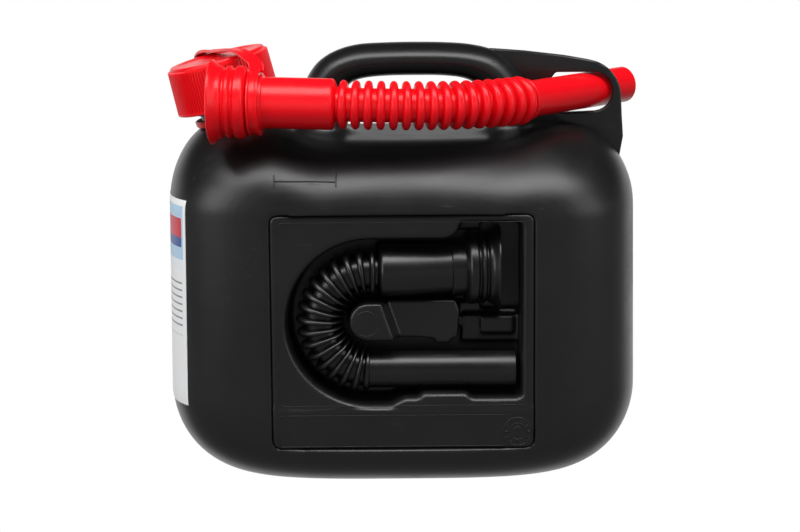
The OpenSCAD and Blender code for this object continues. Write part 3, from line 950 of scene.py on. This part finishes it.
class CANISTER_OT_caps(bpy.types.Operator):
    """Ribbed outer cap, with the threaded inner cap and seal that it drives"""
    bl_idname = "canister.caps"
    bl_label = "Caps"

    def execute(self, context):
        form = settings("cap")
        foot, top = CAP_TOP - CAP_HEIGHT, CAP_TOP
        inside = CAP_RADIUS - 1.9
        # each step: height, radius, share of the rib depth
        steps = [(foot + 1.4, inside - 1, 0), (foot, inside - 1, 0), (foot, CAP_RADIUS - 0.6, 0),
            (foot + 0.35, CAP_RADIUS, 0), (foot + 1.3, CAP_RADIUS, 0), (foot + 1.6, CAP_RADIUS, 1),
            ((foot + top) / 2, CAP_RADIUS - 0.2, 1), (top - 2.9, CAP_RADIUS - 0.4, 1),
            (top - 2.3, CAP_RADIUS - 0.5, 1), (top - 1.9, CAP_RADIUS - 1.1, 1.6),
            (top - 1.75, CAP_RADIUS - 1.7, 0.6), (top - 1.5, CAP_RADIUS - 2.0, 0),
            (top - 0.7, CAP_RADIUS - 2.2, 0), (top - 0.2, CAP_RADIUS - 2.6, 0), (top, CAP_RADIUS - 3.4, 0),
            (top, CAP_RADIUS - 7.4, 0), (top - 0.25, CAP_RADIUS - 7.9, 0), (top - 0.3, 6, 0),
            (top - 0.3, 1, 0)]
        under = [(top - 1.6, 1, 0), (top - 1.6, 12, 0), (top - 1.6, inside, 0), ((foot + top) / 2, inside, 0),
            (foot + 2.2, inside, 0)]
        rings = []
        count = form.ribs * 4
        depth = form.rib_depth / MM
        for height, radius, share in steps + under:
            ring = []
            for k in range(count):
                r = radius - (depth * share if k % 4 in (2, 3) else 0)
                angle = 2 * math.pi * k / count
                ring.append((r * math.cos(angle), r * math.sin(angle), height))
            rings.append(ring)
        cap = from_rings("outer_cap_ribbed", rings, loop=True)
        cap.data.transform(leaning())
        dress(outward(cap), "drive_cap", red_plastic(), "outer_cap", 32)
        paint(frame["nodes"]["inner_cap"], red_plastic())
        paint(frame["nodes"]["cap_seal"], foam())
        return {"FINISHED"}


class CANISTER_OT_strap(bpy.types.Operator):
    """Tether strap: neck ring, band with raised rims and the ring on the spout's waist"""
    bl_idname = "canister.strap"
    bl_label = "Tether strap"

    def execute(self, context):
        line = spline(STRAP_LINE, 6)
        rings = []
        for i, point in enumerate(line):
            t = i / 6
            along = (line[min(len(line) - 1, i + 1)] - line[max(0, i - 1)]).normalized()
            lie = Vector((0.94, 0.34, 0)).lerp(Vector((0.97, 0.2, 0.1)), ease((t - 6) / 3))
            across = (lie - along * lie.dot(along)).normalized()
            up = across.cross(along)
            w = 4 - ease((t - 9.5) / 1.5)
            section = [(w, 0.5), (w - 0.3, 0.9), (w - 1.0, 0.9), (w - 1.3, 0.35), (0, 0.35), (1.3 - w, 0.35),
                (1.0 - w, 0.9), (0.3 - w, 0.9), (-w, 0.5), (-w, -0.7), (0.3 - w, -0.9), (0, -0.9),
                (w - 0.3, -0.9), (w, -0.7)]
            rings.append([point + across * a + up * b for a, b in section])
        band = outward(from_rings("strap_band", rings))
        ring = spun("strap_spout_ring", [(-3.1, 15.8), (-3.1, 18.1), (-2.8, 18.3), (-2.1, 18.3), (-1.7, 17.9),
            (-1.5, 17.5), (1.5, 17.5), (1.7, 17.9), (2.1, 18.3), (2.8, 18.3), (3.1, 18.1), (3.1, 15.8),
            (2.9, 15.6), (-2.9, 15.6)], 96)
        centre = red_path()[int(STRAP_RING_AT / PATH_STEP)]
        heading = math.radians(red_heading(STRAP_RING_AT))
        ring.data.transform(Matrix.Translation(centre * MM) @ Matrix.Rotation(heading, 4, "Z"))
        collar = spun("strap_neck_ring", [(-2.1, 18.2), (-2.1, 20.2), (-1.2, 21.1), (1.4, 21.4), (1.7, 21.2),
            (1.7, 20.6), (-0.5, 20.1), (-0.9, 19.4), (-0.7, 18.2)], 96)
        collar.data.transform(neck_matrix())
        join(band, ring, collar)
        band.name = "strap"
        smooth(band, 38)
        paint(band, red_plastic())
        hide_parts("tether_strap")
        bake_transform(band)
        return {"FINISHED"}


class CANISTER_OT_loop(bpy.types.Operator):
    """Web behind the handle, with the loop that holds the spout's tail"""
    bl_idname = "canister.loop"
    bl_label = "Web and loop"

    def execute(self, context):
        def arc(cx, cz, r, first, last, steps):
            angles = [math.radians(first + (last - first) * i / steps) for i in range(steps + 1)]
            return [(cx + r * math.cos(a), cz + r * math.sin(a)) for a in angles]

        def plate(name, outline, half):
            rings = [[(x, y, z) for x, z in outline] for y in (half, -half)]
            return outward(from_rings(name, rings))

        outline = [(40, 238.5), (52, 238.6), (70, 237.2), (92.8, 234.4), (106, 232)]
        outline += arc(104, 210.5, 21.4, 72, 8, 12)
        outline += [(125.8, 200), (126.6, 188), (124.5, 176), (118, 172), (104, 188), (60, 190), (52, 224)]
        hole = [(88, 224.8), (110, 224.8)] + arc(109.2, 213.6, 11.2, 78, -82, 14)
        hole += [(92, 201.9), (85, 204), (81.6, 209), (81.6, 216)]
        web = plate("web_loop", outline, 2.4)
        cut(web, plate("loop_cutter", hole, 10))
        modify(web, "BEVEL", width=1.1 * MM, segments=3, limit_method="ANGLE", angle_limit=math.radians(50))
        dress_black(web, 30)
        return {"FINISHED"}


class CANISTER_OT_label(bpy.types.Operator):
    """Label film on the side face"""
    bl_idname = "canister.label"
    bl_label = "Label"

    def execute(self, context):
        low_z, high_z = LABEL_Z
        clear_selection()
        bpy.ops.mesh.primitive_grid_add(x_subdivisions=LABEL_CELLS, y_subdivisions=LABEL_CELLS, size=2)
        film = added("label_sheet")
        for vertex in film.data.vertices:
            y = vertex.co.x * LABEL_HALF
            z = (low_z + high_z) / 2 + vertex.co.y * (high_z - low_z) / 2
            vertex.co = Vector((side_x(y, z) - 0.25, y, z)) * MM
        modify(film, "SOLIDIFY", thickness=0.2 * MM, offset=1.0)
        outward(film)
        dress(film, "canister", label_film(), "side_label", 50)
        return {"FINISHED"}


class CANISTER_OT_details(bpy.types.Operator):
    """Raised lines on the shell: level mark, framed strip, panel line, date ring and island ring"""
    bl_idname = "canister.details"
    bl_label = "Raised lines"

    def execute(self, context):
        lines = []

        def on_shoulder(points):
            return [Vector((x, front_y(x, z) - 0.02, z)) for x, z in points]

        def on_panel(points, y=PANEL_Y):
            return [Vector((x, y, z)) for x, z in points]

        def circle(cx, cz, r, steps=40):
            return [(cx + r * math.cos(2 * math.pi * i / steps), cz + r * math.sin(2 * math.pi * i / steps))
                for i in range(steps)]

        def rounded(x0, x1, z0, z1, r, steps=5):
            points = []
            corners = ((x1 - r, z1 - r), (x0 + r, z1 - r), (x0 + r, z0 + r), (x1 - r, z0 + r))
            for (cx, cz), first in zip(corners, (0, 90, 180, 270)):
                for i in range(steps + 1):
                    a = math.radians(first + 90 * i / steps)
                    points.append((cx + r * math.cos(a), cz + r * math.sin(a)))
            return points

        # Each line: points, whether it closes, radius
        lines.append((on_shoulder([(-70 + i * 0.85, MARK_Z - i * 0.02) for i in range(41)]), False, 0.45))
        for x in (-70.0, -36.0):
            lines.append((on_shoulder([(x, MARK_Z - 3 + i * 0.75) for i in range(9)]), False, 0.45))
        lines.append((on_panel(rounded(-68.8, 69, 48, 151.5, 3)), True, 0.16))
        lines.append((on_panel(rounded(-69, 56.3, 24.8, 42.6, 1.5), STRIP_Y), True, 0.2))
        x, z = DIAL
        lines.append((on_panel(circle(x, z, 8.0), STRIP_Y), True, 0.28))
        lines.append((on_panel(circle(x, z, 4.6), STRIP_Y), True, 0.24))
        for i in range(12):
            a = math.radians(30 * i)
            tick = [(x + r * math.cos(a), z + r * math.sin(a)) for r in (5.5, 7.0)]
            lines.append((on_panel(tick, STRIP_Y), False, 0.4))
        shaft = [(x, z - 3), (x, z + 3)]
        lines.append((on_panel(shaft, STRIP_Y), False, 0.3))
        head = [(x - 1.6, z + 1.2), (x, z + 3), (x + 1.6, z + 1.2)]
        lines.append((on_panel(head, STRIP_Y), False, 0.3))
        lines.append((on_panel(circle(*ISLAND, 7.0), PANEL_Y + 0.6), True, 0.22))
        curve = bpy.data.curves.new("raised_lines", "CURVE")
        curve.dimensions = "3D"
        curve.bevel_depth = 1 * MM
        curve.bevel_resolution = 2
        curve.use_fill_caps = True
        for points, closed, radius in lines:
            line = curve.splines.new("POLY")
            line.points.add(len(points) - 1)
            for item, point in zip(line.points, points):
                item.co = (*(point * MM), 1)
                item.radius = radius
            line.use_cyclic_u = closed
        only(linked("raised_lines", curve))
        bpy.ops.object.convert(target="MESH")
        dress_black(added("raised_lines"), 60)
        return {"FINISHED"}


class CANISTER_OT_stage(bpy.types.Operator):
    """Floor, backdrop, lights and camera"""
    bl_idname = "canister.stage"
    bl_label = "Stage"

    def execute(self, context):
        make_floor()
        make_lights()
        make_camera()
        context.scene.view_settings.view_transform = "Standard"
        return {"FINISHED"}


def make_floor():
    """White table, lit round the object and plain white to the eye further out."""
    clear_selection()
    bpy.ops.mesh.primitive_plane_add(size=1, location=(0, 0.95, -0.0002), scale=(5, 4.1, 1))
    floor = bake_place(added("floor"))
    material, tree, shader, point = new_material("pale_floor")
    shader.inputs["Base Color"].default_value = (0.93, 0.93, 0.93, 1)
    shader.inputs["Roughness"].default_value = 0.9
    distance = tree.nodes.new("ShaderNodeVectorMath")
    distance.operation = "LENGTH"
    tree.links.new(point, distance.inputs[0])
    far = map_range(tree, distance.outputs["Value"], 0.16, 0.34)
    rays = tree.nodes.new("ShaderNodeLightPath")
    white = tree.nodes.new("ShaderNodeEmission")
    mix = tree.nodes.new("ShaderNodeMixShader")
    tree.links.new(math_node(tree, "MULTIPLY", far, rays.outputs["Is Camera Ray"]), mix.inputs["Fac"])
    tree.links.new(shader.outputs["BSDF"], mix.inputs[1])
    tree.links.new(white.outputs["Emission"], mix.inputs[2])
    tree.links.new(mix.outputs["Shader"], tree.nodes["Material Output"].inputs["Surface"])
    floor.data.materials.append(material)


def area_lamp(name, place_at, aim, size, power):
    light = bpy.data.lights.new(name, "AREA")
    light.shape = "RECTANGLE"
    light.size, light.size_y = size
    light.energy = power
    lamp = linked(name, light)
    lamp.location = place_at
    lamp.rotation_euler = (Vector(aim) - Vector(place_at)).to_track_quat("-Z", "Y").to_euler()
    return lamp


def make_lights():
    """Softboxes, and a world that the camera sees white and that shines a little from low behind."""
    area_lamp("overhead_softbox", (0, -0.5, 1.2), (0, -0.1, 0.1), (1.9, 0.55), 23)
    area_lamp("left_softbox", (-1.2, -0.8, 0.6), (0, 0, 0.12), (0.6, 1.0), 7)
    area_lamp("right_softbox", (1.2, -0.8, 0.6), (0, 0, 0.12), (0.6, 1.0), 4)
    fill = area_lamp("front_fill", (0, -1.5, 0.35), (0, 0, 0.12), (1.6, 1.0), 7)
    fill.visible_glossy = False
    world = bpy.data.worlds.new("studio")
    world.use_nodes = True
    tree = world.node_tree
    background = tree.nodes["Background"]
    background.inputs["Color"].default_value = (1, 1, 1, 1)
    rays = tree.nodes.new("ShaderNodeLightPath")
    parts = tree.nodes.new("ShaderNodeSeparateXYZ")
    tree.links.new(tree.nodes.new("ShaderNodeTexCoord").outputs["Generated"], parts.inputs[0])
    behind = map_range(tree, parts.outputs["Y"], 0.3, 0.6)
    low = map_range(tree, parts.outputs["Z"], 0.12, 0.4, 1.0, 0.0)
    shine = math_node(tree, "MULTIPLY", math_node(tree, "MAXIMUM", behind, 0.3), low)
    mirrored = math_node(tree, "MAXIMUM", rays.outputs["Is Glossy Ray"], rays.outputs["Is Transmission Ray"])
    reflection = math_node(tree, "MULTIPLY", mirrored, shine)
    seen = math_node(tree, "MAXIMUM", rays.outputs["Is Camera Ray"], reflection)
    tree.links.new(math_node(tree, "MAXIMUM", seen, 0.04), background.inputs["Strength"])
    bpy.context.scene.world = world


def make_camera():
    tilt = math.radians(CAMERA_ELEVATION)
    data = bpy.data.cameras.new("camera")
    data.sensor_width = 36
    data.lens = FOCAL_PIXELS / IMAGE_WIDTH * data.sensor_width
    camera = linked("camera", data)
    back = Vector((0, -math.cos(tilt), math.sin(tilt)))
    turn = Matrix.Rotation(math.radians(90) - tilt, 4, "X")
    right, down = (math.atan(p / FOCAL_PIXELS) for p in TARGET_PIXEL_FROM_CENTRE)
    aim = Matrix.Rotation(right, 4, "Y") @ Matrix.Rotation(-down, 4, "X")
    roll = Matrix.Rotation(math.radians(-CAMERA_ROLL), 4, "Z")
    stand = Matrix.Translation((CAMERA_TARGET + back * CAMERA_DISTANCE) * MM)
    camera.matrix_world = stand @ turn @ aim @ roll
    bpy.context.scene.camera = camera


class CANISTER_PT_panel(bpy.types.Panel):
    """Lists the canister's settings and pieces"""
    bl_idname = "CANISTER_PT_panel"
    bl_label = "Fuel canister"
    bl_space_type = "VIEW_3D"
    bl_region_type = "UI"
    bl_category = "Canister"

    def draw(self, context):
        for group in GROUPS:
            values = settings(group)
            box = self.layout.box()
            for name in values.__annotations__:
                box.prop(values, name)
        for operator in PIECES:
            self.layout.operator(operator.bl_idname)


GROUPS = {"shell": ShellSettings, "spout": SpoutSettings, "cap": CapSettings, "finish": FinishSettings}
PIECES = [CANISTER_OT_shell, CANISTER_OT_panel, CANISTER_OT_loop, CANISTER_OT_neck, CANISTER_OT_spouts,
    CANISTER_OT_caps, CANISTER_OT_strap, CANISTER_OT_label, CANISTER_OT_details, CANISTER_OT_stage]


def register():
    for kind in [*GROUPS.values(), *PIECES, CANISTER_PT_panel]:
        bpy.utils.register_class(kind)
    for name, kind in GROUPS.items():
        setattr(bpy.types.Scene, "canister_" + name, PointerProperty(type=kind))


def unregister():
    for name in GROUPS:
        delattr(bpy.types.Scene, "canister_" + name)
    for kind in reversed([*GROUPS.values(), *PIECES, CANISTER_PT_panel]):
        bpy.utils.unregister_class(kind)


def main():
    register()
    bpy.ops.canister.stage()
    bpy.ops.canister.shell()
    bpy.ops.canister.panel()
    bpy.ops.canister.loop()
    bpy.ops.canister.neck()
    bpy.ops.canister.spouts()
    bpy.ops.canister.caps()
    bpy.ops.canister.strap()
    bpy.ops.canister.label()
    bpy.ops.canister.details()


if __name__ == "__main__":
    main()
